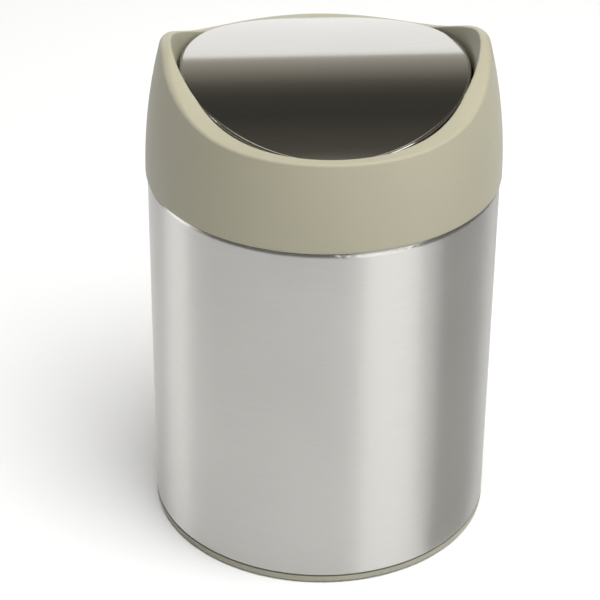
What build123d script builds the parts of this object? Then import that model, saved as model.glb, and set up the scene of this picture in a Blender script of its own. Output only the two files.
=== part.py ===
from build123d import *
import os
from math import radians, sin, sqrt

# Countertop swing-lid can. Millimetres, +Z up, origin at the centre of the bottom,
# X along the lid's pivot axis, front towards -Y.

# Overall sizes
SLEEVE_RADIUS = 68.0
SEAT_HEIGHT = 150.3
PIVOT_HEIGHT = SEAT_HEIGHT + 34.0

# Brushed steel sleeve
SHEET = 0.6
SLEEVE_BOTTOM = 4.0
SLEEVE_TOP = 150.0
ROLL_RADIUS = 1.8
HEM_RADIUS = 64.6
FLANGE_RADIUS = 58.2

# Moulded base and its rubber ring
BASE_BOTTOM = 0.4
BASE_EDGE = 0.8
BASE_GROOVE_BOTTOM = 3.1
BASE_GROOVE_DEPTH = 1.4
BASE_WALL = 2.4
CHANNEL_TOP = 1.6
PLUG_RADIUS = 57.6
PLUG_TOP = 7.0
PAD_INNER = 58.4
PAD_OUTER = 64.6
PAD_ROUND = 0.5
PLUG_CHAMFER = 0.8
BASE_SCREW_CIRCLE = 61.4
BASE_RIBS = 8
RIB_HALF = 0.8
HUB_OUTER = 10.0
HUB_INNER = 7.0

# Countersunk base screws
BASE_SHANK = 1.3
BASE_SCREW_HOLE = 1.6
SINK_RADIUS = 2.7
SINK_DEPTH = 1.2
BASE_SCREW_TIP = 7.2
CROSS_HALF = 0.3

# Collar that stiffens the sleeve's mouth
COLLAR_INNER = 64.4
COLLAR_BOTTOM = 132.0
COLLAR_LEAD_IN = 1.2

# Lift-out bucket
BUCKET_WALL = 1.5
BUCKET_FOOT_RADIUS = 56.4
BUCKET_NECK_RADIUS = 60.6
BUCKET_RIM_RADIUS = 63.2
BUCKET_TOP = 138.0
BUCKET_FOOT_ROUND = 5.0
BUCKET_RIM_DEPTH = 6.0
GRIP_LENGTH = 26.0
GRIP_HEIGHT = 9.0
GRIP_DROP = 14.0

# Bezel: a ring with a bulged wall, cut to a saddle that rises to a horn each side
BEZEL_RADIUS = 68.7
BULGE_RADIUS = 205.0
BEZEL_WALL = 1.8
RIM_ROUND = 2.0
FRONT_RIM = 34.9
HORN_SHOULDER = 52.9
HORN_SHOULDER_Y = 8.0
HORN_TOP = 54.0
SWOOP_INSET = 1.7
SWOOP_EASING_Y = 40.4
SWOOP_CLIMB_Y = 32.8
SWOOP_CLIMB_Z = 45.6
OPENING_X = 55.9
OPENING_Y = 61.5
FLARE_START = 44.0
FLARE_SLOPE = 0.19
HOLLOW_TOP = 46.0
INNER_WALL_BOTTOM = 22.0
STOP_SLOT_HALF = 12.8
BUSH_SLOT_HALF = 6.2
SLOT_START = 50.0
BOSS_RADIUS = 3.0
BOSS_TOP = 26.0
PILOT_DEPTH = 12.0

# Frame that plugs into the sleeve and carries the pivots
SPIGOT_OUTER = 64.0
SPIGOT_INNER = 62.0
SPIGOT_DEPTH = 10.0
FRAME_INNER = 58.5
FRAME_OUTER = 66.5
FRAME_THICK = 2.4
FRAME_BOTTOM = SEAT_HEIGHT - 0.3
FRAME_TOP = FRAME_BOTTOM + FRAME_THICK
SPIGOT_NOTCH_HALF = 4.5
TOWER_X = 58.8
TOWER_THICK = 2.4
TOWER_HALF = 6.5
TOWER_RIB_HALF = 0.9
TOWER_RIB_REACH = 3.0
TOWER_RIB_HEIGHT = 18.0
BUSH_RADIUS = 3.5
BUSH_FLANGE_RADIUS = 5.0
BUSH_FLANGE = 1.3

# Pan-head screws that hold the frame to the bezel
HEAD_SCREW_CIRCLE = 61.2
HEAD_SCREW_ANGLE = 60.0
HEAD_SHANK = 1.3
HEAD_SCREW_HOLE = 1.7
HEAD_RADIUS = 2.6
HEAD_HEIGHT = 1.8
HEAD_SCREW_LENGTH = 11.0

# Swing lid
LID_X = 54.8
LID_Y = 60.3
CREST_HEIGHT = SEAT_HEIGHT + 44.2
CREST_OFFSET = 3.9
LID_BEND_RADIUS = 187.0
SKIRT_DEPTH = 3.2
LID_PLATE = 2.0
LID_RIM_DEPTH = 5.0
LID_RIM_WIDTH = 2.0
LID_CORNER = 1.2
LINING_GAP = 0.1
LINING_RIB_HALF = 0.7
EAR_X = 50.3
EAR_THICK = 3.2
EAR_RADIUS = 5.5
EAR_WEB_HALF = 0.9
PIN_RADIUS = 2.0
PIN_HEAD_RADIUS = 3.4
PIN_HEAD = 0.8
WASHER_RADIUS = 4.4
WASHER_THICK = 0.8
RUNNING_CLEARANCE = 0.04
STOP_PEG_RADIUS = 1.5
STOP_PEG_ARM = 10.5
STOP_ARM_HALF = 2.6
SWING_LIMIT = 62.0

# Counterweight hung below the pivot
WEIGHT_LENGTH = 76.0
WEIGHT_WIDTH = 15.0
WEIGHT_HEIGHT = 11.0
WEIGHT_TOP = PIVOT_HEIGHT - 6.0
WEIGHT_SCREW_X = 28.0
POST_RADIUS = 4.0
POST_PILOT = 1.5
WEIGHT_SHANK = 1.45
WEIGHT_HOLE = 1.8
WEIGHT_HEAD_RADIUS = 3.2
WEIGHT_SINK_RADIUS = 3.6
WEIGHT_SINK = 3.2
WEIGHT_CROSS_HALF = 0.4
COVER_WALL = 1.5
COVER_PLAY = 0.15


def ring(outer, inner, bottom, top):
    """Upright ring between two radii and two heights."""
    height = top - bottom
    body = Cylinder(outer, height, align=(Align.CENTER, Align.CENTER, Align.MIN))
    body -= Cylinder(inner, height, align=(Align.CENTER, Align.CENTER, Align.MIN))
    return Pos(0, 0, bottom) * body


def disc(radius, bottom, top):
    """Upright cylinder about Z between two heights."""
    return Pos(0, 0, bottom) * Cylinder(radius, top - bottom, align=(Align.CENTER, Align.CENTER, Align.MIN))


def box_between(low, high):
    """Box given by its lowest and highest corners."""
    size = [b - a for a, b in zip(low, high)]
    centre = [(a + b) / 2 for a, b in zip(low, high)]
    return Pos(*centre) * Box(*size)


def rod_x(radius, start, end, y=0.0, z=PIVOT_HEIGHT):
    """Cylinder along X between two x values."""
    return Pos((start + end) / 2, y, z) * Rot(0, 90, 0) * Cylinder(radius, abs(end - start))


def tapered(low_radius, high_radius, bottom, top):
    """Upright cone frustum about Z between two heights."""
    frustum = Cone(low_radius, high_radius, top - bottom, align=(Align.CENTER, Align.CENTER, Align.MIN))
    return Pos(0, 0, bottom) * frustum


def cross_recess(reach, half, bottom, top):
    """Cross-shaped driver recess about Z between two heights."""
    cross = box_between((-reach, -half, bottom), (reach, half, top))
    cross += box_between((-half, -reach, bottom), (half, reach, top))
    return cross


def oval(half_x, half_y, bottom, top):
    """Upright elliptical prism between two heights."""
    return extrude(Plane.XY.offset(bottom) * Ellipse(half_x, half_y), top - bottom)


def spun(*edges):
    """Solid of revolution about Z from the edges of a closed outline in the XZ plane."""
    return revolve(make_face(Curve() + list(edges)), Axis.Z)


def around(piece, angles):
    """Copies of a piece turned about Z, as a list."""
    return [Rot(0, 0, angle) * piece for angle in angles]


# ---- Can body -------------------------------------------------------------


def steel_sleeve():
    """Rolled sheet with its mouth turned in over a small radius and a flange turned in below."""
    r = SLEEVE_RADIUS
    inner = r - SHEET
    roll = ROLL_RADIUS
    turn = roll * sin(radians(45))
    centre = (r - roll, SLEEVE_TOP - roll)
    small = roll - SHEET
    small_turn = small * sin(radians(45))
    outer_roll = ThreePointArc(
        (r, 0, centre[1]), (centre[0] + turn, 0, centre[1] + turn), (centre[0], 0, SLEEVE_TOP)
    )
    inner_roll = ThreePointArc(
        (inner, 0, centre[1]),
        (centre[0] + small_turn, 0, centre[1] + small_turn),
        (centre[0], 0, SLEEVE_TOP - SHEET),
    )
    floor = SLEEVE_BOTTOM
    return spun(
        Line((r, 0, floor), (r, 0, centre[1])),
        outer_roll,
        Line((centre[0], 0, SLEEVE_TOP), (HEM_RADIUS, 0, SLEEVE_TOP)),
        Line((HEM_RADIUS, 0, SLEEVE_TOP), (HEM_RADIUS, 0, SLEEVE_TOP - SHEET)),
        Line((HEM_RADIUS, 0, SLEEVE_TOP - SHEET), (centre[0], 0, SLEEVE_TOP - SHEET)),
        inner_roll,
        Line((inner, 0, centre[1]), (inner, 0, floor + SHEET)),
        Line((inner, 0, floor + SHEET), (FLANGE_RADIUS, 0, floor + SHEET)),
        Line((FLANGE_RADIUS, 0, floor + SHEET), (FLANGE_RADIUS, 0, floor)),
        Line((FLANGE_RADIUS, 0, floor), (r, 0, floor)),
    )


def screw_angles():
    """Four directions between the X and Y axes, as drawn for the base screws."""
    return [45 + 90 * i for i in range(4)]


def base_plate():
    """Moulded base: outer ring, channel for the rubber ring, raised plug and ribs beneath it."""
    foot = disc(SLEEVE_RADIUS, BASE_BOTTOM, SLEEVE_BOTTOM)
    foot = fillet(foot.edges().group_by(Axis.Z)[0], BASE_EDGE)
    foot -= ring(SLEEVE_RADIUS + 1, SLEEVE_RADIUS - BASE_GROOVE_DEPTH, BASE_GROOVE_BOTTOM, SLEEVE_BOTTOM)
    plug = chamfer(disc(PLUG_RADIUS, BASE_BOTTOM, PLUG_TOP).edges().group_by(Axis.Z)[-1], PLUG_CHAMFER)
    base = foot + plug
    base -= ring(SLEEVE_RADIUS - BASE_WALL, PLUG_RADIUS, BASE_BOTTOM, CHANNEL_TOP)
    floor_underside = PLUG_TOP - BASE_WALL
    base -= disc(PLUG_RADIUS - BASE_WALL, BASE_BOTTOM, floor_underside)
    rib_top = floor_underside + 0.5
    rib = box_between((HUB_INNER + 1, -RIB_HALF, BASE_BOTTOM), (PLUG_RADIUS - 1, RIB_HALF, rib_top))
    for copy in around(rib, [360 / BASE_RIBS * i for i in range(BASE_RIBS)]):
        base += copy
    base += ring(HUB_OUTER, HUB_INNER, BASE_BOTTOM, rib_top)
    clearance = disc(BASE_SCREW_HOLE, CHANNEL_TOP, SLEEVE_BOTTOM)
    clearance += tapered(SINK_RADIUS, BASE_SCREW_HOLE, CHANNEL_TOP, CHANNEL_TOP + SINK_DEPTH)
    for copy in around(Pos(BASE_SCREW_CIRCLE, 0, 0) * clearance, screw_angles()):
        base -= copy
    return base


def base_pad():
    """Rubber ring set in the channel; it stands proud so that the can does not slip."""
    pad = ring(PAD_OUTER, PAD_INNER, 0, CHANNEL_TOP)
    return fillet(pad.edges().group_by(Axis.Z)[0], PAD_ROUND)


def base_screws():
    """Four countersunk screws from below into the sleeve's flange."""
    head = tapered(SINK_RADIUS - 0.1, BASE_SCREW_HOLE - 0.1, CHANNEL_TOP, CHANNEL_TOP + SINK_DEPTH - 0.1)
    screw = head + disc(BASE_SHANK, CHANNEL_TOP + 0.6, BASE_SCREW_TIP)
    screw -= cross_recess(2, CROSS_HALF, CHANNEL_TOP, CHANNEL_TOP + 0.5)
    return Compound(children=around(Pos(BASE_SCREW_CIRCLE, 0, 0) * screw, screw_angles()))


def sleeve_with_holes():
    """The sleeve with the base screws' thread holes in its lower flange."""
    sleeve = steel_sleeve()
    hole = Pos(BASE_SCREW_CIRCLE, 0, 0) * disc(BASE_SHANK + 0.05, SLEEVE_BOTTOM - 1, SLEEVE_BOTTOM + 2)
    for copy in around(hole, screw_angles()):
        sleeve -= copy
    return sleeve


def top_collar():
    """Moulded ring under the rolled mouth that guides the head's spigot."""
    step = SLEEVE_TOP - ROLL_RADIUS
    collar = ring(SLEEVE_RADIUS - SHEET - 0.1, COLLAR_INNER, COLLAR_BOTTOM, step)
    collar += ring(SLEEVE_RADIUS - ROLL_RADIUS, COLLAR_INNER, step - 1, SLEEVE_TOP - SHEET)
    return chamfer(collar.edges().group_by(Axis.Z)[0].sort_by(SortBy.RADIUS)[0], COLLAR_LEAD_IN)


# ---- Bucket ---------------------------------------------------------------


def inner_bucket():
    """Tapered bucket with a turned-down rim and two finger holes under it."""
    foot = BUCKET_FOOT_RADIUS
    neck = BUCKET_NECK_RADIUS
    wall = BUCKET_WALL
    outer = spun(
        Line((0, 0, PLUG_TOP), (foot, 0, PLUG_TOP)),
        Line((foot, 0, PLUG_TOP), (neck, 0, BUCKET_TOP)),
        Line((neck, 0, BUCKET_TOP), (0, 0, BUCKET_TOP)),
        Line((0, 0, BUCKET_TOP), (0, 0, PLUG_TOP)),
    )
    outer = fillet(outer.edges().group_by(Axis.Z)[0], BUCKET_FOOT_ROUND)
    inner = spun(
        Line((0, 0, PLUG_TOP + wall), (foot - wall, 0, PLUG_TOP + wall)),
        Line((foot - wall, 0, PLUG_TOP + wall), (neck - wall, 0, BUCKET_TOP + 1)),
        Line((neck - wall, 0, BUCKET_TOP + 1), (0, 0, BUCKET_TOP + 1)),
        Line((0, 0, BUCKET_TOP + 1), (0, 0, PLUG_TOP + wall)),
    )
    inner = fillet(inner.edges().group_by(Axis.Z)[0], BUCKET_FOOT_ROUND - wall)
    rim = ring(BUCKET_RIM_RADIUS, neck - 0.5, BUCKET_TOP - BUCKET_RIM_DEPTH, BUCKET_TOP)
    rim = fillet(rim.edges().group_by(Axis.Z)[-1].sort_by(SortBy.RADIUS)[-1], 0.9)
    under = BUCKET_TOP - BUCKET_RIM_DEPTH - 1
    rim -= ring(BUCKET_RIM_RADIUS - wall, neck - 1, under, BUCKET_TOP - wall)
    bucket = outer + rim - inner
    slot = extrude(SlotOverall(GRIP_LENGTH, GRIP_HEIGHT), BUCKET_RIM_RADIUS + 10, both=True)
    grip = Pos(0, 0, BUCKET_TOP - GRIP_DROP) * Rot(90, 0, 0) * slot
    return bucket - grip


# ---- Head: bezel and pivot frame ------------------------------------------


def bulged_body(inset):
    """Solid inside the bezel's bulged outer wall, drawn in by an inset."""
    arc_centre = BEZEL_RADIUS - BULGE_RADIUS
    radius = BULGE_RADIUS - inset
    top = HORN_TOP + 4

    def wall(height):
        return arc_centre + sqrt(radius**2 - height**2)

    def place(height):
        return (wall(height), 0, SEAT_HEIGHT + height)

    body = spun(
        ThreePointArc(place(0), place(top / 2), place(top)),
        Line(place(top), (0, 0, SEAT_HEIGHT + top)),
        Line((0, 0, SEAT_HEIGHT + top), (0, 0, SEAT_HEIGHT)),
        Line((0, 0, SEAT_HEIGHT), place(0)),
    )
    return Rot(0, 0, 90) * body


def saddle_block(drop):
    """Block under the saddle rim: low at front and back, rising to a rounded peak at the sides."""
    reach = BEZEL_RADIUS + 4
    start = BEZEL_RADIUS - SWOOP_INSET

    def at(y, z):
        return (0, y, SEAT_HEIGHT + z - drop)

    def swoop(side):
        low = at(side * start, FRONT_RIM)
        easing = at(side * SWOOP_EASING_Y, FRONT_RIM)
        climb = at(side * SWOOP_CLIMB_Y, SWOOP_CLIMB_Z)
        return Bezier(low, easing, climb, at(side * HORN_SHOULDER_Y, HORN_SHOULDER))

    def end_line(side):
        return Line(at(side * start, FRONT_RIM), at(side * reach, FRONT_RIM))

    peak = ThreePointArc(
        at(-HORN_SHOULDER_Y, HORN_SHOULDER), at(0, HORN_TOP), at(HORN_SHOULDER_Y, HORN_SHOULDER)
    )
    floor = [(0, -reach, SEAT_HEIGHT), (0, reach, SEAT_HEIGHT)]
    closing = [Line(at(-reach, FRONT_RIM), floor[0]), Line(*floor), Line(floor[1], at(reach, FRONT_RIM))]
    outline = [end_line(-1), swoop(-1), peak, swoop(1), end_line(1)] + closing
    return extrude(make_face(Curve() + outline), reach, both=True)


def opening_core(grow, bottom):
    """The mouth: an oval shaft that flares outwards between the horns."""
    shaft = oval(OPENING_X + grow, OPENING_Y + grow, bottom, SEAT_HEIGHT + FLARE_START)
    rise = HORN_TOP + 5 - FLARE_START
    low = Plane.XY.offset(SEAT_HEIGHT + FLARE_START) * Ellipse(OPENING_X + grow, OPENING_Y + grow)
    spread = FLARE_SLOPE * rise
    high = Plane.XY.offset(SEAT_HEIGHT + FLARE_START + rise) * Ellipse(
        OPENING_X + grow + spread, OPENING_Y + grow + spread
    )
    return shaft + loft([low, high], ruled=True)


def head_screw_places():
    """The four directions of the screws between bezel and frame."""
    a = HEAD_SCREW_ANGLE
    return [a, 180 - a, 180 + a, -a]


def pivot_slot():
    """Space cut in the bezel's inner wall for the stop peg, the bush and the pin, on the +X side."""
    low = SEAT_HEIGHT + INNER_WALL_BOTTOM - 1
    reach = OPENING_X + BEZEL_WALL + 1.5
    slot = box_between((SLOT_START, -STOP_SLOT_HALF, low), (reach, STOP_SLOT_HALF, PIVOT_HEIGHT - 0.5))
    slot += box_between((SLOT_START, -BUSH_SLOT_HALF, low), (reach, BUSH_SLOT_HALF, PIVOT_HEIGHT))
    slot += rod_x(BUSH_SLOT_HALF, SLOT_START, reach)
    return slot


def bezel_inner_wall():
    """The thin oval wall that lines the mouth."""
    wall_bottom = SEAT_HEIGHT + INNER_WALL_BOTTOM
    return opening_core(BEZEL_WALL, wall_bottom)


def bezel():
    """Saddle-shaped top ring with a hollow wall, pivot slots and four screw bosses."""
    shell = bulged_body(0) & saddle_block(0)
    rim_edges = shell.edges().filter_by(lambda edge: edge.center().Z > SEAT_HEIGHT + 30)
    shell = fillet(rim_edges, RIM_ROUND)
    shell -= opening_core(0, SEAT_HEIGHT - 1)
    hollow = bulged_body(BEZEL_WALL) & saddle_block(BEZEL_WALL)
    hollow -= disc(BEZEL_RADIUS, SEAT_HEIGHT + HOLLOW_TOP, SEAT_HEIGHT + HORN_TOP + 6)
    hollow -= bezel_inner_wall()
    shell -= hollow
    for side in (pivot_slot(), mirror(pivot_slot(), Plane.YZ)):
        shell -= side
    boss = Pos(HEAD_SCREW_CIRCLE, 0, 0) * disc(BOSS_RADIUS, FRAME_TOP, SEAT_HEIGHT + BOSS_TOP)
    pilot = Pos(HEAD_SCREW_CIRCLE, 0, 0) * disc(HEAD_SHANK, FRAME_TOP - 1, FRAME_TOP + PILOT_DEPTH)
    for copy in around(boss, head_screw_places()):
        shell += copy
    for copy in around(pilot, head_screw_places()):
        shell -= copy
    return shell


def pivot_frame():
    """Ring with a spigot for the sleeve and an upright tower for each pivot."""
    top = FRAME_TOP
    frame = ring(FRAME_OUTER, FRAME_INNER, FRAME_BOTTOM, top)
    spigot_foot = FRAME_BOTTOM - SPIGOT_DEPTH
    spigot = ring(SPIGOT_OUTER, SPIGOT_INNER, spigot_foot, FRAME_BOTTOM)
    half = SPIGOT_NOTCH_HALF
    notch = box_between((SPIGOT_INNER - 6, -half, spigot_foot - 1), (SPIGOT_OUTER + 2, half, FRAME_BOTTOM))
    for copy in around(notch, head_screw_places()):
        spigot -= copy
    frame += spigot
    tower = box_between((TOWER_X, -TOWER_HALF, top), (TOWER_X + TOWER_THICK, TOWER_HALF, PIVOT_HEIGHT))
    tower += rod_x(TOWER_HALF, TOWER_X, TOWER_X + TOWER_THICK)
    tower_back = TOWER_X + TOWER_THICK
    rib_end = (tower_back + TOWER_RIB_REACH, TOWER_RIB_HALF, top + TOWER_RIB_HEIGHT)
    tower += box_between((tower_back, -TOWER_RIB_HALF, top), rib_end)
    tower -= rod_x(BUSH_RADIUS, TOWER_X - 1, tower_back + 1)
    frame += tower
    frame += mirror(tower, Plane.YZ)
    clearance = Pos(HEAD_SCREW_CIRCLE, 0, 0) * disc(HEAD_SCREW_HOLE, FRAME_BOTTOM - 1, top + 1)
    for copy in around(clearance, head_screw_places()):
        frame -= copy
    return frame


def head_screws():
    """Four pan-head screws from below, through the frame into the bezel's bosses."""
    seat = FRAME_BOTTOM
    head = fillet(disc(HEAD_RADIUS, seat - HEAD_HEIGHT, seat).edges().group_by(Axis.Z)[0], 0.8)
    screw = head + disc(HEAD_SHANK, seat, seat + HEAD_SCREW_LENGTH)
    screw -= cross_recess(HEAD_RADIUS - 1, CROSS_HALF, seat - 2, seat - HEAD_HEIGHT / 2)
    return Compound(children=around(Pos(HEAD_SCREW_CIRCLE, 0, 0) * screw, head_screw_places()))


def pivot_bush():
    """Flanged bush in the +X tower."""
    bush = rod_x(BUSH_RADIUS, TOWER_X, TOWER_X + TOWER_THICK + 0.4)
    bush += rod_x(BUSH_FLANGE_RADIUS, TOWER_X - BUSH_FLANGE, TOWER_X)
    return bush - rod_x(PIN_RADIUS + RUNNING_CLEARANCE, TOWER_X - 2, TOWER_X + TOWER_THICK + 1)


def stop_bumpers():
    """Rubber strips on the slots' edges that the stop pegs land on at the end of the swing."""
    wall = bezel_inner_wall() - opening_core(0, SEAT_HEIGHT)
    face = STOP_PEG_ARM * sin(radians(SWING_LIMIT)) + STOP_PEG_RADIUS + 0.1
    low = PIVOT_HEIGHT - 11
    high = PIVOT_HEIGHT - 1
    strips = []
    for x_side in (-1, 1):
        for y_side in (-1, 1):
            x_span = sorted((x_side * SLOT_START, x_side * (SLOT_START + 10)))
            y_span = sorted((y_side * face, y_side * STOP_SLOT_HALF))
            zone = box_between((x_span[0], y_span[0], low), (x_span[1], y_span[1], high))
            strips.append((wall & zone).solids()[0])
    return Compound(children=strips)


# ---- Swing lid ------------------------------------------------------------


def lid_bend(radius):
    """Round bar along X whose top is the lid's gently bent surface."""
    centre_height = CREST_HEIGHT - LID_BEND_RADIUS
    return Pos(0, CREST_OFFSET, centre_height) * Rot(0, 90, 0) * Cylinder(radius, 3 * LID_X)


def lid_blank(inset, depth_top, depth_bottom):
    """Oval piece of the lid between two depths under its top surface."""
    column = oval(LID_X - inset, LID_Y - inset, SEAT_HEIGHT + 10, CREST_HEIGHT + 10)
    return (column & lid_bend(LID_BEND_RADIUS - depth_top)) - lid_bend(LID_BEND_RADIUS - depth_bottom)


def lid_skin():
    """Brushed sheet, bent one way, with its edge turned down all round."""
    outside = lid_blank(0, 0, SKIRT_DEPTH)
    top_edges = outside.faces().sort_by(Axis.Z)[-1].edges()
    outside = fillet(top_edges, LID_CORNER)
    inside = lid_blank(SHEET, SHEET, SKIRT_DEPTH + 1)
    inside_top = inside.faces().sort_by(Axis.Z)[-1].edges()
    inside = fillet(inside_top, LID_CORNER - SHEET)
    return outside - inside


def lid_frame():
    """Moulded lining with a deep rim, ribs, two pivot ears with stop pegs and two weight posts."""
    gap = SHEET + LINING_GAP
    frame = lid_blank(gap, gap, gap + LID_PLATE)
    top_edges = frame.faces().sort_by(Axis.Z)[-1].edges()
    frame = chamfer(top_edges, 0.7)
    frame += lid_blank(gap, gap + 1, gap + LID_RIM_DEPTH) - lid_blank(gap + LID_RIM_WIDTH, 0, LID_RIM_DEPTH + 2)
    ribs = lid_blank(gap + 1, gap + 1, gap + LID_RIM_DEPTH - 0.8)
    half = LINING_RIB_HALF
    low = SEAT_HEIGHT
    high = CREST_HEIGHT
    bars = [box_between((x - half, -LID_Y, low), (x + half, LID_Y, high)) for x in (-40, -14, 14, 40)]
    bars += [box_between((-LID_X, y - half, low), (LID_X, y + half, high)) for y in (-40, -20, 20, 40)]
    for bar in bars:
        frame += ribs & bar
    plate_height = CREST_HEIGHT - gap - LID_PLATE / 2
    ear_bottom = PIVOT_HEIGHT - STOP_PEG_ARM
    ear_back = EAR_X + EAR_THICK
    ear = box_between((EAR_X, -EAR_RADIUS, PIVOT_HEIGHT), (ear_back, EAR_RADIUS, plate_height))
    ear += rod_x(EAR_RADIUS, EAR_X, ear_back)
    ear += box_between((EAR_X, -STOP_ARM_HALF, ear_bottom), (ear_back, STOP_ARM_HALF, PIVOT_HEIGHT))
    ear += rod_x(STOP_ARM_HALF, EAR_X, ear_back, 0, ear_bottom)
    ear += rod_x(STOP_PEG_RADIUS, EAR_X + 1, TOWER_X - 0.8, 0, ear_bottom)
    web = box_between((EAR_X - 9, -EAR_WEB_HALF, PIVOT_HEIGHT + 6), (EAR_X, EAR_WEB_HALF, plate_height))
    ear += web
    ear -= rod_x(PIN_RADIUS, EAR_X - 1, ear_back + 1)
    frame += ear
    frame += mirror(ear, Plane.YZ)
    for x in (-WEIGHT_SCREW_X, WEIGHT_SCREW_X):
        post = disc(POST_RADIUS, WEIGHT_TOP, plate_height)
        post -= disc(POST_PILOT, WEIGHT_TOP - 1, plate_height - 3)
        frame += Pos(x, 0, 0) * post
    return frame


def pivot_pin():
    """Headed steel pin through the +X ear; its free end turns in the bush."""
    pin = rod_x(PIN_RADIUS, EAR_X - 0.5, TOWER_X + TOWER_THICK)
    pin += rod_x(PIN_HEAD_RADIUS, EAR_X - 0.5 - PIN_HEAD, EAR_X)
    return chamfer(pin.edges().group_by(Axis.X)[-1], 0.4)


def pin_washer():
    """Push-on retaining washer on the outer side of the +X ear."""
    start = EAR_X + EAR_THICK
    return rod_x(WASHER_RADIUS, start, start + WASHER_THICK) - rod_x(PIN_RADIUS, start - 1, start + 2)


def counterweight():
    """Steel bar below the pivot that brings the lid back level."""
    bar = box_between(
        (-WEIGHT_LENGTH / 2, -WEIGHT_WIDTH / 2, WEIGHT_TOP - WEIGHT_HEIGHT),
        (WEIGHT_LENGTH / 2, WEIGHT_WIDTH / 2, WEIGHT_TOP),
    )
    bar = fillet(bar.edges().filter_by(Axis.Z), 2)
    bar = chamfer(bar.edges().group_by(Axis.Z)[0], 0.6)
    for x in (-WEIGHT_SCREW_X, WEIGHT_SCREW_X):
        bar -= Pos(x, 0, 0) * disc(WEIGHT_HOLE, WEIGHT_TOP - WEIGHT_HEIGHT, WEIGHT_TOP)
        bar -= Pos(x, 0, 0) * disc(
            WEIGHT_SINK_RADIUS, WEIGHT_TOP - WEIGHT_HEIGHT, WEIGHT_TOP - WEIGHT_HEIGHT + WEIGHT_SINK
        )
    return bar


def weight_screws():
    """Two pan-head screws that hold the bar to the lid's posts."""
    head_bottom = WEIGHT_TOP - WEIGHT_HEIGHT + 0.8
    head_top = WEIGHT_TOP - WEIGHT_HEIGHT + WEIGHT_SINK
    head = fillet(disc(WEIGHT_HEAD_RADIUS, head_bottom, head_top).edges().group_by(Axis.Z)[0], 0.9)
    screw = head + disc(WEIGHT_SHANK, head_top, WEIGHT_TOP + 7)
    screw -= cross_recess(2, WEIGHT_CROSS_HALF, head_bottom - 1, head_bottom + 1)
    return Compound(children=[Pos(x, 0, 0) * screw for x in (-WEIGHT_SCREW_X, WEIGHT_SCREW_X)])


def weight_cover():
    """Snap-on trough that closes the bar off from below."""
    wall = COVER_WALL
    play = COVER_PLAY
    half_x = WEIGHT_LENGTH / 2 + play
    half_y = WEIGHT_WIDTH / 2 + play
    floor = WEIGHT_TOP - WEIGHT_HEIGHT - play
    rim = WEIGHT_TOP - 2.5
    cover = box_between((-half_x - wall, -half_y - wall, floor - wall), (half_x + wall, half_y + wall, rim))
    cover = fillet(cover.edges().filter_by(Axis.Z), 3.2)
    cover = fillet(cover.edges().group_by(Axis.Z)[0], 1.4)
    hollow = box_between((-half_x, -half_y, floor), (half_x, half_y, rim + 1))
    hollow = fillet(hollow.edges().filter_by(Axis.Z), 1.8)
    return cover - hollow


# ---- Write one file per piece ---------------------------------------------

os.makedirs("parts", exist_ok=True)

pieces = {
    "steel_sleeve": sleeve_with_holes(),
    "top_collar": top_collar(),
    "base_plate": base_plate(),
    "base_pad": base_pad(),
    "base_screws": base_screws(),
    "inner_bucket": inner_bucket(),
    "bezel": bezel(),
    "pivot_frame": pivot_frame(),
    "head_screws": head_screws(),
    "pivot_bush_right": pivot_bush(),
    "pivot_bush_left": mirror(pivot_bush(), Plane.YZ),
    "stop_bumpers": stop_bumpers(),
    "lid_skin": lid_skin(),
    "lid_frame": lid_frame(),
    "pivot_pin_right": pivot_pin(),
    "pivot_pin_left": mirror(pivot_pin(), Plane.YZ),
    "pin_washer_right": pin_washer(),
    "pin_washer_left": mirror(pin_washer(), Plane.YZ),
    "counterweight": counterweight(),
    "weight_screws": weight_screws(),
    "weight_cover": weight_cover(),
}

for name, shape in pieces.items():
    export_step(shape, f"parts/{name}.step")
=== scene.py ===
import math

import bpy
from mathutils import Matrix, Vector


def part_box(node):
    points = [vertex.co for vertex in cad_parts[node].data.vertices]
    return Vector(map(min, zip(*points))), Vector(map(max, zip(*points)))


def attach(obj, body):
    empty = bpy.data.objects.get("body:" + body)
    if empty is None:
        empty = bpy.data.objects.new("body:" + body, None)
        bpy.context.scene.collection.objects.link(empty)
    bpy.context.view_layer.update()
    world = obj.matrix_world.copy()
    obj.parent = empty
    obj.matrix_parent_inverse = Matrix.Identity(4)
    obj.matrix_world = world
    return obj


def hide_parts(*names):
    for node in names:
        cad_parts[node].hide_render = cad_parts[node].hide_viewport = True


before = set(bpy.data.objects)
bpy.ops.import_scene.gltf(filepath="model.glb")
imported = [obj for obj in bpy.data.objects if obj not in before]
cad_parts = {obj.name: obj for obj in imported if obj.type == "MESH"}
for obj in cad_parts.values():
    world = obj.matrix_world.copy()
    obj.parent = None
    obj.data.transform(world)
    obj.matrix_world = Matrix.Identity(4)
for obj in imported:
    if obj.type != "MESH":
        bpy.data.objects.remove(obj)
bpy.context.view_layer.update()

# The countertop can in metres, in the frame's own axes: +Z up, front towards -Y, lid pivots along X.
MM = 0.001

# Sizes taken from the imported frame
bezel_low, bezel_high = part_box("bezel")
pin_low, pin_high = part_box("pivot_pin_right")
SEAT = bezel_low.z
BEZEL_RADIUS = bezel_high.x
HORN_TOP = bezel_high.z - bezel_low.z
PIVOT = (pin_low.z + pin_high.z) / 2

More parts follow.
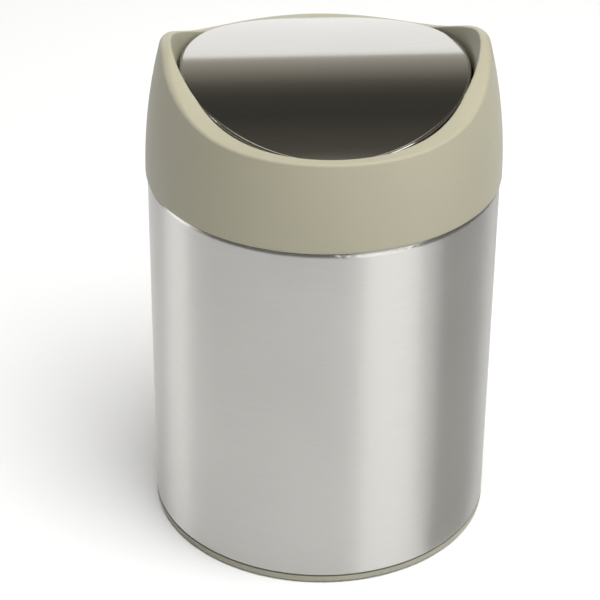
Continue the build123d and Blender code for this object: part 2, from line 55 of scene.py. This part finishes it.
# Bezel shape, heights above its seat
BULGE_RADIUS = 205.0 * MM
WALL = 1.8 * MM
FRONT_RIM = 34.9 * MM
SHOULDER_Y = 8.0 * MM
SHOULDER = 52.9 * MM
SWOOP_START = BEZEL_RADIUS - 1.7 * MM
SWOOP_EASING_Y = 40.4 * MM
SWOOP_CLIMB = (32.8 * MM, 45.6 * MM)
OPENING_X = 55.9 * MM
OPENING_Y = 61.5 * MM
FLARE_START = 44.0 * MM
FLARE_SLOPE = 0.19
HOLLOW_TOP = 46.0 * MM
INNER_WALL_BOTTOM = 22.0 * MM
STOP_SLOT_HALF = 12.8 * MM
STOP_SLOT_DROP = 0.5 * MM
BUSH_SLOT_HALF = 6.2 * MM

# Bezel edges: radius of each rounding, what is left beside it, and the step that finds a wall's slope
FRONT_ROUND = 1.2 * MM
HORN_ROUND = 4.6 * MM
ROUND_EASING = 1.2
INNER_ROUND = 0.7 * MM
BOTTOM_ROUND = 0.7 * MM
LIP_FLAT = 0.9 * MM
CREASE_GAP = 0.6 * MM
SLOPE_STEP = 0.2 * MM

# Bezel mesh: points along one section, and the turn between sections in degrees or radians
CREASE_STEPS = 9
EDGE_STEPS = 4
BOTTOM_STEPS = 3
OUTER_ROWS = 12
MOUTH_ROWS = 7
LINING_ROWS = 6
SECTIONS = 240
SECTION_DEGREES = 1.5
HORN_SECTIONS = 12
HORN_DEGREES = 0.5
SLOT_EDGE_TURN = 0.001
SMALLEST_TURN = 0.0005

# Rounds of the searches for a point on the rim's curve, and for where a wall meets the rim
CURVE_ROUNDS = 30
MEETING_ROUNDS = 40

# Screw bosses under the bezel
BOSS_RADIUS = 3.0 * MM
BOSS_HOLE = 1.3 * MM
BOSS_BOTTOM = 2.1 * MM
BOSS_TOP = 26.0 * MM
BOSS_CHAMFER = 0.3 * MM
BOSS_CIRCLE = 61.2 * MM
BOSS_ANGLES = (60, 120, 240, 300)
BOSS_SIDES = 32

# Camera
CAMERA_AZIMUTH = -3.857
CAMERA_ELEVATION = 31.368
CAMERA_ROLL = 0.505
CAMERA_DISTANCE = 0.8807
CAMERA_LENS = 131.95
CAMERA_SENSOR = 36.0
AIM_HEIGHT = 0.0895
AIM_SIDE = -0.0087


# ---- Mesh helpers ---------------------------------------------------------


def mesh_object(name, vertices, faces, material, sharp_degrees=35.0):
    """A mesh object with smooth shading that breaks at sharp edges."""
    mesh = bpy.data.meshes.new(name)
    mesh.from_pydata(vertices, [], faces)
    mesh.validate()
    mesh.shade_smooth()
    mesh.set_sharp_from_angle(angle=math.radians(sharp_degrees))
    mesh.materials.append(material)
    obj = bpy.data.objects.new(name, mesh)
    bpy.context.scene.collection.objects.link(obj)
    return obj


def ring_of_sections(sections):
    """Vertices and faces of a closed ring made from equal-length closed sections."""
    count = len(sections[0])
    vertices = [point for section in sections for point in section]
    faces = []
    for i in range(len(sections)):
        j = (i + 1) % len(sections)
        for k in range(count):
            m = (k + 1) % count
            faces.append((i * count + k, j * count + k, j * count + m, i * count + m))
    return vertices, faces


def corner_arc(corner, before, after, radius, steps):
    """Points that round a corner in the section plane, from the 'before' side to the 'after' side."""
    u = Vector(before).normalized()
    v = Vector(after).normalized()
    half = u.angle(v) / 2
    reach = radius / math.tan(half)
    centre = Vector(corner) + (u + v).normalized() * radius / math.sin(half)
    start = Vector(corner) + u * reach - centre
    end = Vector(corner) + v * reach - centre
    sweep = start.angle(end)
    points = []
    for k in range(steps + 1):
        t = k / steps
        spot = start * math.sin((1 - t) * sweep) + end * math.sin(t * sweep)
        points.append(centre + spot / math.sin(sweep))
    return points


# ---- Bezel ----------------------------------------------------------------


def bezier(t, a, b, c, d):
    """Cubic Bezier in one coordinate."""
    s = 1 - t
    return s * s * s * a + 3 * s * s * t * b + 3 * s * t * t * c + t * t * t * d


def crown_height(y):
    """Height of the saddle rim over the seat at a distance y in front of or behind the pivot."""
    y = abs(y)
    if y >= SWOOP_START:
        return FRONT_RIM
    if y <= SHOULDER_Y:
        rise = HORN_TOP - SHOULDER
        radius = (SHOULDER_Y**2 + rise**2) / (2 * rise)
        return HORN_TOP - radius + math.sqrt(radius**2 - y**2)
    low, high = 0.0, 1.0
    for _ in range(CURVE_ROUNDS):
        middle = (low + high) / 2
        if bezier(middle, SWOOP_START, SWOOP_EASING_Y, SWOOP_CLIMB[0], SHOULDER_Y) > y:
            low = middle
        else:
            high = middle
    return bezier(low, FRONT_RIM, FRONT_RIM, SWOOP_CLIMB[1], SHOULDER)


def outer_radius(height):
    """Radius of the bulged outer wall."""
    return BEZEL_RADIUS - BULGE_RADIUS + math.sqrt(BULGE_RADIUS**2 - height**2)


def mouth_radius(angle, height, grow=0.0):
    """Distance from the axis to the mouth's wall, which flares between the horns."""
    flare = max(0.0, height - FLARE_START) * FLARE_SLOPE + grow
    across = math.cos(angle) / (OPENING_X + flare)
    along = math.sin(angle) / (OPENING_Y + flare)
    return 1 / math.hypot(across, along)


def wall_bottom(y):
    """Lower edge of the mouth's wall, cut away for the stop pegs and the pivot bushes."""
    if abs(y) < BUSH_SLOT_HALF:
        return PIVOT - SEAT + math.sqrt(BUSH_SLOT_HALF**2 - y**2)
    if abs(y) < STOP_SLOT_HALF:
        return PIVOT - SEAT - STOP_SLOT_DROP
    return INNER_WALL_BOTTOM


def meet(radius_at, angle):
    """Point where a wall of the section meets the saddle rim."""
    height = FRONT_RIM
    for _ in range(MEETING_ROUNDS):
        height = crown_height(radius_at(height) * math.sin(angle))
    return Vector((radius_at(height), height))


def bezel_section(angle):
    """Closed outline (radius, height) of the bezel at one angle about Z."""
    outer = meet(outer_radius, angle)
    inner = meet(lambda h: mouth_radius(angle, h), angle)
    lip = inner - outer
    wall_down = Vector((outer_radius(outer.y - SLOPE_STEP), outer.y - SLOPE_STEP)) - outer
    mouth_down = Vector((mouth_radius(angle, inner.y - SLOPE_STEP), inner.y - SLOPE_STEP)) - inner
    share = min(1.0, max(0.0, (outer.y - FRONT_RIM) / (HORN_TOP - FRONT_RIM)))
    wanted = FRONT_ROUND + (HORN_ROUND - FRONT_ROUND) * share**ROUND_EASING
    room = (lip.length - LIP_FLAT) * math.tan(wall_down.angle(lip) / 2)
    crease = corner_arc(outer, wall_down, lip, min(wanted, room), CREASE_STEPS)
    edge = corner_arc(inner, -lip, mouth_down, INNER_ROUND, EDGE_STEPS)
    outline = [Vector((BEZEL_RADIUS - WALL, 0.0))]
    outline += corner_arc((BEZEL_RADIUS, 0.0), (-1, 0), (0, 1), BOTTOM_ROUND, BOTTOM_STEPS)
    first = BOTTOM_ROUND * 2
    for k in range(OUTER_ROWS):
        height = first + (crease[0].y - CREASE_GAP - first) * k / (OUTER_ROWS - 1)
        outline.append(Vector((outer_radius(height), height)))
    outline += crease
    outline += edge
    bottom = wall_bottom(mouth_radius(angle, FRONT_RIM) * math.sin(angle))
    top = edge[-1].y
    for k in range(1, MOUTH_ROWS + 1):
        height = top + (bottom - top) * k / MOUTH_ROWS
        outline.append(Vector((mouth_radius(angle, height), height)))
    ceiling = min(HOLLOW_TOP, outer.y - WALL, inner.y - WALL)
    outline.append(Vector((mouth_radius(angle, bottom, WALL), bottom)))
    outline.append(Vector((mouth_radius(angle, ceiling, WALL), ceiling)))
    # The last row would be the outline's first point again, so it is left out.
    for k in range(LINING_ROWS - 1):
        height = ceiling * (LINING_ROWS - 1 - k) / (LINING_ROWS - 1)
        outline.append(Vector((outer_radius(height) - WALL, height)))
    return outline


def bezel_angles():
    """Angles of the sections: even all round, closer at the horns, with pairs at the slots' edges."""
    angles = [math.radians(SECTION_DEGREES * k) for k in range(SECTIONS)]
    near = mouth_radius(0, FRONT_RIM)
    for half in (BUSH_SLOT_HALF, STOP_SLOT_HALF):
        edge = math.asin(half / near)
        for side in (0, math.pi):
            for turn in (-edge, edge):
                angles.append((side + turn - SLOT_EDGE_TURN) % math.tau)
                angles.append((side + turn + SLOT_EDGE_TURN) % math.tau)
    for k in range(-HORN_SECTIONS, HORN_SECTIONS + 1):
        angles.append(math.radians(HORN_DEGREES * k) % math.tau)
        angles.append(math.radians(180 + HORN_DEGREES * k))
    angles.sort()
    kept = [angles[0]]
    for angle in angles[1:]:
        if angle - kept[-1] > SMALLEST_TURN:
            kept.append(angle)
    return kept


def bezel_mesh():
    """Vertices and faces of the whole bezel."""
    sections = []
    for angle in bezel_angles():
        turned = []
        for point in bezel_section(angle):
            turned.append((point.x * math.cos(angle), point.x * math.sin(angle), SEAT + point.y))
        sections.append(turned)
    return ring_of_sections(sections)


def boss_mesh():
    """Vertices and faces of the four screw bosses."""
    vertices = []
    faces = []
    outline = [
        (BOSS_HOLE, BOSS_BOTTOM),
        (BOSS_RADIUS - BOSS_CHAMFER, BOSS_BOTTOM),
        (BOSS_RADIUS, BOSS_BOTTOM + BOSS_CHAMFER),
        (BOSS_RADIUS, BOSS_TOP),
        (BOSS_HOLE, BOSS_TOP),
    ]
    for degrees in BOSS_ANGLES:
        turn = math.radians(degrees)
        centre = Vector((BOSS_CIRCLE * math.cos(turn), BOSS_CIRCLE * math.sin(turn), SEAT))
        sections = []
        for k in range(BOSS_SIDES):
            a = math.tau * k / BOSS_SIDES
            sections.append([centre + Vector((r * math.cos(a), r * math.sin(a), z)) for r, z in outline])
        points, quads = ring_of_sections(sections)
        faces += [tuple(len(vertices) + i for i in quad) for quad in quads]
        vertices += points
    return vertices, faces


# ---- Materials ------------------------------------------------------------

# Noise scales per metre along X, Y and Z
STEEL_CLOUDS = (22, 22, 22)
PLASTIC_RIPPLE = (60, 60, 35)
PLASTIC_CLOUDS = (28, 28, 16)
SCRATCHES = (900, 2600, 700)
HARDWARE_CLOUDS = (90, 90, 90)
STUDIO_MOTTLE = (3, 3, 3)

# Depths of the fine relief in metres
HAIR_DEPTH = 0.0015 * MM
RIPPLE_DEPTH = 0.03 * MM
SCRATCH_DEPTH = 0.008 * MM

# Range of noise that is spread over a tone, and of edge sharpness that gets a painted highlight
NOISE_RANGE = (0.3, 0.7)
EDGE_HIGHLIGHT_RANGE = (0.52, 0.60)
# How much paler the painted edge highlight makes the colour
EDGE_HIGHLIGHT_SHADE = 1.25
PLASTIC_IOR = 1.5

STEEL = (0.580, 0.571, 0.549)
LID_STEEL = (0.66, 0.65, 0.625)
SAGE = (0.318, 0.301, 0.220)
BASE_GREEN = (0.30, 0.29, 0.225)
CHARCOAL = (0.035, 0.035, 0.033)
BUCKET_GREY = (0.055, 0.056, 0.055)
NATURAL_WHITE = (0.78, 0.77, 0.72)
BLACK_RUBBER = (0.022, 0.022, 0.021)
ZINC = (0.52, 0.51, 0.47)
BRIGHT = (0.66, 0.66, 0.65)
SPRING = (0.38, 0.38, 0.39)


class Shader:
    """One Principled material with a few shorthands for wiring its nodes."""

    def __init__(self, name):
        self.material = bpy.data.materials.new(name)
        self.material.use_nodes = True
        self.tree = self.material.node_tree
        self.main = self.tree.nodes["Principled BSDF"]
        self.place = self.tree.nodes.new("ShaderNodeTexCoord").outputs["Object"]

    def node(self, kind, **inputs):
        made = self.tree.nodes.new(kind)
        for key, value in inputs.items():
            made.inputs[key.replace("_", " ")].default_value = value
        return made

    def link(self, source, target):
        self.tree.links.new(source, target)

    def stretched(self, scales):
        """Object coordinates multiplied along each axis."""
        scaled = self.node("ShaderNodeVectorMath")
        scaled.operation = "MULTIPLY"
        self.link(self.place, scaled.inputs[0])
        scaled.inputs[1].default_value = scales
        return scaled.outputs[0]

    def noise(self, scales, detail=3.0, roughness=0.55):
        made = self.node("ShaderNodeTexNoise", Scale=1.0, Detail=detail, Roughness=roughness)
        self.link(self.stretched(scales), made.inputs["Vector"])
        return made.outputs["Fac"]

    def remap(self, value, before, after):
        """A value mapped from one (low, high) range to another, and held inside it."""
        made = self.tree.nodes.new("ShaderNodeMapRange")
        made.inputs["From Min"].default_value = before[0]
        made.inputs["From Max"].default_value = before[1]
        made.inputs["To Min"].default_value = after[0]
        made.inputs["To Max"].default_value = after[1]
        self.link(value, made.inputs["Value"])
        return made.outputs["Result"]

    def spread(self, value, low, high):
        """Noise mapped to a range."""
        return self.remap(value, NOISE_RANGE, (low, high))

    def mix(self, factor, first, second):
        """Blend of two colours, each a tone or another node's output."""
        made = self.tree.nodes.new("ShaderNodeMix")
        made.data_type = "RGBA"
        for key, colour in (("A", first), ("B", second)):
            if isinstance(colour, tuple):
                made.inputs[key].default_value = (*colour, 1)
            else:
                self.link(colour, made.inputs[key])
        self.link(factor, made.inputs["Factor"])
        return made.outputs["Result"]

    def tint(self, value, colour, contrast):
        """The colour, made a little darker and lighter by noise."""
        share = self.spread(value, 0.0, 1.0)
        return self.mix(share, shade(colour, 1 - contrast), shade(colour, 1 + contrast))

    def bump(self, height, distance, under=None):
        made = self.node("ShaderNodeBump", Strength=1.0, Distance=distance)
        self.link(height, made.inputs["Height"])
        if under is not None:
            self.link(under, made.inputs["Normal"])
        return made.outputs["Normal"]

    def feed(self, socket, output):
        """Wire an output into the Principled node."""
        self.link(output, self.main.inputs[socket])

    def fix(self, socket, value):
        """Give an input of the Principled node a fixed value."""
        self.main.inputs[socket].default_value = value


def shade(colour, factor):
    """A tone lighter or darker."""
    return tuple(min(1.0, part * factor) for part in colour)


def brushed_steel(name, colour, roughness, fine, long, anisotropy, turn, contrast):
    """Steel brushed along one direction; 'fine' and 'long' are noise scales per metre."""
    shader = Shader(name)
    hairs = shader.noise(fine, 4.0, 0.6)
    streaks = shader.noise(long, 3.0, 0.5)
    clouds = shader.noise(STEEL_CLOUDS, 2.0)
    shader.feed("Base Color", shader.tint(streaks, colour, contrast))
    rough = shader.node("ShaderNodeMath")
    rough.operation = "ADD"
    shader.link(shader.spread(hairs, roughness * 0.93, roughness * 1.05), rough.inputs[0])
    shader.link(shader.spread(clouds, 0.0, roughness * 0.06), rough.inputs[1])
    shader.feed("Roughness", rough.outputs[0])
    shader.feed("Normal", shader.bump(hairs, HAIR_DEPTH))
    shader.fix("Metallic", 1.0)
    shader.fix("Anisotropic", anisotropy)
    shader.fix("Anisotropic Rotation", turn)
    if anisotropy > 0:
        tangent = shader.tree.nodes.new("ShaderNodeTangent")
        tangent.direction_type = "RADIAL"
        tangent.axis = "Z"
        shader.feed("Tangent", tangent.outputs["Tangent"])
    return shader.material


def moulded_plastic(name, colour, roughness, grain=1400, grain_depth=0.02 * MM, contrast=0.025, edge_highlight=0.0):
    """Moulded plastic with a fine spark-eroded grain, faint flow clouds and, if asked, paler sharp edges
    as a painted highlight.
    """
    shader = Shader(name)
    grain_height = shader.noise((grain, grain, grain), 2.0)
    ripple = shader.noise(PLASTIC_RIPPLE, 2.0)
    clouds = shader.noise(PLASTIC_CLOUDS, 3.0)
    tone = shader.tint(clouds, colour, contrast)
    if edge_highlight:
        # Painted highlight: sharp edges are made paler, as if they caught the light
        edge = shader.tree.nodes.new("ShaderNodeNewGeometry").outputs["Pointiness"]
        painted_highlight = shader.remap(edge, EDGE_HIGHLIGHT_RANGE, (0.0, edge_highlight))
        tone = shader.mix(painted_highlight, tone, shade(colour, EDGE_HIGHLIGHT_SHADE))
    shader.feed("Base Color", tone)
    shader.feed("Roughness", shader.spread(grain_height, roughness * 0.92, roughness * 1.08))
    swell = shader.bump(ripple, RIPPLE_DEPTH)
    shader.feed("Normal", shader.bump(grain_height, grain_depth, swell))
    shader.fix("IOR", PLASTIC_IOR)
    return shader.material


def turned_metal(name, colour, roughness, contrast=0.06):
    """Small plated hardware with fine random scratches."""
    shader = Shader(name)
    scratch = shader.noise(SCRATCHES, 4.0, 0.65)
    clouds = shader.noise(HARDWARE_CLOUDS, 3.0)
    shader.feed("Base Color", shader.tint(clouds, colour, contrast))
    shader.feed("Roughness", shader.spread(scratch, roughness * 0.8, roughness * 1.2))
    shader.feed("Normal", shader.bump(scratch, SCRATCH_DEPTH))
    shader.fix("Metallic", 1.0)
    return shader.material


sleeve_steel = brushed_steel(
    "sleeve_steel", STEEL, roughness=0.35, fine=(170, 170, 4200), long=(60, 60, 2600),
    anisotropy=0.96, turn=0.25, contrast=0.022,
)
lid_steel = brushed_steel(
    "lid_steel", LID_STEEL, roughness=0.10, fine=(160, 5200, 160), long=(40, 1500, 40),
    anisotropy=0.0, turn=0.0, contrast=0.02,
)
# The sage plastic gets the painted highlight along its sharp edges
sage_plastic = moulded_plastic("sage_plastic", SAGE, 0.42, edge_highlight=0.35)
base_plastic = moulded_plastic("base_plastic", BASE_GREEN, 0.45)
dark_plastic = moulded_plastic("dark_plastic", CHARCOAL, 0.5, grain=1100, contrast=0.08)
bucket_plastic = moulded_plastic("bucket_plastic", BUCKET_GREY, 0.38, grain=900, contrast=0.08)
acetal = moulded_plastic("acetal", NATURAL_WHITE, 0.30, grain=1800, grain_depth=0.008 * MM)
rubber = moulded_plastic("rubber", BLACK_RUBBER, 0.72, grain=800, grain_depth=0.04 * MM, contrast=0.12)
zinc_steel = turned_metal("zinc_steel", ZINC, 0.36)
bright_steel = turned_metal("bright_steel", BRIGHT, 0.2)
spring_steel = turned_metal("spring_steel", SPRING, 0.3)

NODE_MATERIALS = {
    "steel_sleeve": sleeve_steel,
    "lid_skin": lid_steel,
    "top_collar": dark_plastic,
    "base_plate": base_plastic,
    "base_pad": rubber,
    "base_screws": zinc_steel,
    "inner_bucket": bucket_plastic,
    "pivot_frame": dark_plastic,
    "head_screws": zinc_steel,
    "pivot_bush_right": acetal,
    "pivot_bush_left": acetal,
    "stop_bumpers": rubber,
    "lid_frame": dark_plastic,
    "pivot_pin_right": bright_steel,
    "pivot_pin_left": bright_steel,
    "pin_washer_right": spring_steel,
    "pin_washer_left": spring_steel,
    "counterweight": zinc_steel,
    "weight_screws": bright_steel,
    "weight_cover": dark_plastic,
}

for node_name, material in NODE_MATERIALS.items():
    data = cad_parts[node_name].data
    data.materials.clear()
    data.materials.append(material)

shell = mesh_object("bezel_shell", *bezel_mesh(), sage_plastic)
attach(shell, "head")
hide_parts("bezel")

bosses = mesh_object("bezel_bosses", *boss_mesh(), sage_plastic)
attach(bosses, "head")


# ---- Studio ---------------------------------------------------------------

FLOOR_HALF = 6.0
FLOOR_WHITE = (0.78, 0.78, 0.775)

# Backdrop, flag and overhead form one bent wall behind and above the can, mirrored by the lid.
LID_HEIGHT = SEAT + 0.044
BACK_DISTANCE = 1.35
BACK_LOW = 0.002
FLAG_LOW_ANGLE = 24.3
FLAG_HIGH_ANGLE = 66.0
FLAG_LOW = LID_HEIGHT + BACK_DISTANCE * math.tan(math.radians(FLAG_LOW_ANGLE))
FLAG_TOP_DISTANCE = 0.62
FLAG_HIGH = LID_HEIGHT + FLAG_TOP_DISTANCE * math.tan(math.radians(FLAG_HIGH_ANGLE))
OVERHEAD_FRONT = -0.1
OVERHEAD_HIGH = FLAG_HIGH + 0.3
HALF_WIDE = 0.7

# Light of the flag and the overhead: (tenths of the way up, tone)
FLAG_STOPS = [(0, 0.46), (1.5, 0.30), (3.4, 0.10), (4.6, 0.058), (6.5, 0.05), (10, 0.09)]
OVERHEAD_STOPS = [(0, 0.09), (10, 0.9)]

# Grey card on the floor, in degrees round the body from the camera's side
CARD_RADIUS = 0.0715
CARD_START = 40
CARD_END = 66
CARD_REACH = 0.9
CARD_HEIGHT = 0.001

LIGHT_DISTANCE = 1.5
LIGHT_AIM_HEIGHT = 0.1
AIR_TONE = (1, 0.995, 0.98, 1)
AIR_STRENGTH = 0.08


def direction(azimuth, elevation):
    """Unit vector from the can towards an azimuth (0 is the front) and an elevation, in degrees."""
    a = math.radians(azimuth)
    e = math.radians(elevation)
    return Vector((math.sin(a) * math.cos(e), -math.cos(a) * math.cos(e), math.sin(e)))


def plain(name, colour, roughness=0.9):
    """Plain studio surface with a very faint mottle."""
    shader = Shader(name)
    mottle = shader.noise(STUDIO_MOTTLE, 2.0)
    shader.feed("Base Color", shader.mix(shader.spread(mottle, 0.0, 1.0), shade(colour, 0.995), colour))
    shader.fix("Roughness", roughness)
    shader.fix("Specular IOR Level", 0.2)
    return shader.material


def panel(name, corners, material, camera=False):
    """A flat studio panel given by four corners; unseen by the camera unless asked."""
    mesh = bpy.data.meshes.new(name)
    mesh.from_pydata(corners, [], [(0, 1, 2, 3)])
    mesh.materials.append(material)
    obj = bpy.data.objects.new(name, mesh)
    bpy.context.scene.collection.objects.link(obj)
    obj.visible_camera = camera
    return obj


def wall_corners(near_y, low, far_y, high):
    """Corners of a panel as wide as the backdrop, from one height and distance to another."""
    return [(-HALF_WIDE, near_y, low), (HALF_WIDE, near_y, low), (HALF_WIDE, far_y, high),
            (-HALF_WIDE, far_y, high)]


def card_corners(start, end, reach, height):
    """Corners of a card just over the floor that the body mirrors between two azimuths on its wall."""
    corners = []
    for azimuth, distance in ((start, 0), (start, reach), (end, reach), (end, 0)):
        a = math.radians(azimuth + CAMERA_AZIMUTH)
        ray = math.radians(2 * azimuth + CAMERA_AZIMUTH)
        corners.append((CARD_RADIUS * math.sin(a) + distance * math.sin(ray),
                        -CARD_RADIUS * math.cos(a) - distance * math.cos(ray), height))
    return corners


def emitter(name):
    """A material that only gives light, with its node tree and its Emission node."""
    material = bpy.data.materials.new(name)
    material.use_nodes = True
    tree = material.node_tree
    tree.nodes.clear()
    light = tree.nodes.new("ShaderNodeEmission")
    out = tree.nodes.new("ShaderNodeOutputMaterial")
    tree.links.new(light.outputs[0], out.inputs["Surface"])
    return material, tree, light


def glow(name, colour, strength):
    """Evenly lit panel face."""
    material, _, light = emitter(name)
    light.inputs["Color"].default_value = (*colour, 1)
    light.inputs["Strength"].default_value = strength
    return material


def ramp_glow(name, low, high, stops):
    """Panel face whose warm light follows stops, in tenths of the way between two heights."""
    material, tree, light = emitter(name)
    place = tree.nodes.new("ShaderNodeTexCoord")
    split = tree.nodes.new("ShaderNodeSeparateXYZ")
    share = tree.nodes.new("ShaderNodeMapRange")
    share.inputs["From Min"].default_value = low
    share.inputs["From Max"].default_value = high
    ramp = tree.nodes.new("ShaderNodeValToRGB")
    while len(ramp.color_ramp.elements) < len(stops):
        ramp.color_ramp.elements.new(0.5)
    for element, (tenths, tone) in zip(ramp.color_ramp.elements, stops):
        element.position = tenths / 10
        element.color = (tone, tone * 0.93, tone * 0.79, 1)
    tree.links.new(place.outputs["Object"], split.inputs[0])
    tree.links.new(split.outputs["Z"], share.inputs["Value"])
    tree.links.new(share.outputs["Result"], ramp.inputs["Fac"])
    tree.links.new(ramp.outputs["Color"], light.inputs["Color"])
    return material


def aimed_light(name, azimuth, elevation, size, power, diffuse=True, glossy=True):
    """Soft rectangular light aimed at the middle of the can; size is its width and height."""
    away = direction(azimuth, elevation)
    data = bpy.data.lights.new(name, "AREA")
    data.shape = "RECTANGLE"
    data.size, data.size_y = size
    data.energy = power
    obj = bpy.data.objects.new(name, data)
    bpy.context.scene.collection.objects.link(obj)
    obj.location = Vector((0, 0, LIGHT_AIM_HEIGHT)) + away * LIGHT_DISTANCE
    obj.rotation_mode = "QUATERNION"
    obj.rotation_quaternion = away.to_track_quat("Z", "Y")
    obj.visible_diffuse = diffuse
    obj.visible_glossy = glossy


panel(
    "floor",
    [(-FLOOR_HALF, -FLOOR_HALF, 0), (FLOOR_HALF, -FLOOR_HALF, 0), (FLOOR_HALF, FLOOR_HALF, 0),
     (-FLOOR_HALF, FLOOR_HALF, 0)],
    plain("floor_white", FLOOR_WHITE),
    camera=True,
)
panel(
    "backdrop",
    wall_corners(BACK_DISTANCE, BACK_LOW, BACK_DISTANCE, FLAG_LOW),
    glow("backdrop_glow", (1.0, 0.995, 0.985), 1.08),
)
panel(
    "flag",
    wall_corners(BACK_DISTANCE, FLAG_LOW, FLAG_TOP_DISTANCE, FLAG_HIGH),
    ramp_glow("flag_glow", FLAG_LOW, FLAG_HIGH, FLAG_STOPS),
)
panel(
    "overhead",
    wall_corners(FLAG_TOP_DISTANCE, FLAG_HIGH, OVERHEAD_FRONT, OVERHEAD_HIGH),
    ramp_glow("overhead_glow", FLAG_HIGH, OVERHEAD_HIGH, OVERHEAD_STOPS),
)
card = panel(
    "card_right",
    card_corners(CARD_START, CARD_END, CARD_REACH, CARD_HEIGHT),
    glow("card_grey", (1.0, 0.98, 0.95), 0.66),
)
card.visible_diffuse = False
card.visible_shadow = False

aimed_light("key_right", 43 + CAMERA_AZIMUTH, 24, (1.0, 1.35), 8.8)
aimed_light("strip_left", -101 + CAMERA_AZIMUTH, 20, (0.62, 1.3), 5.6, diffuse=False)
aimed_light("rim_left", -150 + CAMERA_AZIMUTH, 18, (0.5, 1.2), 3.2)
aimed_light("top_soft", 35, 74, (1.5, 1.3), 41, glossy=False)

world = bpy.data.worlds.new("studio_air")
world.use_nodes = True
air = world.node_tree.nodes["Background"]
air.inputs["Color"].default_value = AIR_TONE
air.inputs["Strength"].default_value = AIR_STRENGTH
bpy.context.scene.world = world
bpy.context.scene.view_settings.view_transform = "Standard"


# ---- Camera ---------------------------------------------------------------


def place_camera():
    """Long-lens camera looking slightly down at the front of the can."""
    a = math.radians(CAMERA_AZIMUTH)
    r = math.radians(CAMERA_ROLL)
    back = direction(CAMERA_AZIMUTH, CAMERA_ELEVATION)
    right = Vector((math.cos(a), math.sin(a), 0))
    up = back.cross(right)
    rolled_right = right * math.cos(r) + up * math.sin(r)
    rolled_up = up * math.cos(r) - right * math.sin(r)
    data = bpy.data.cameras.new("camera")
    data.lens = CAMERA_LENS
    data.sensor_width = CAMERA_SENSOR
    obj = bpy.data.objects.new("camera", data)
    bpy.context.scene.collection.objects.link(obj)
    spot = Vector((0, 0, AIM_HEIGHT)) + right * AIM_SIDE + back * CAMERA_DISTANCE
    turn = Matrix((rolled_right, rolled_up, back)).transposed().to_4x4()
    obj.matrix_world = Matrix.Translation(spot) @ turn
    bpy.context.scene.camera = obj


place_camera()
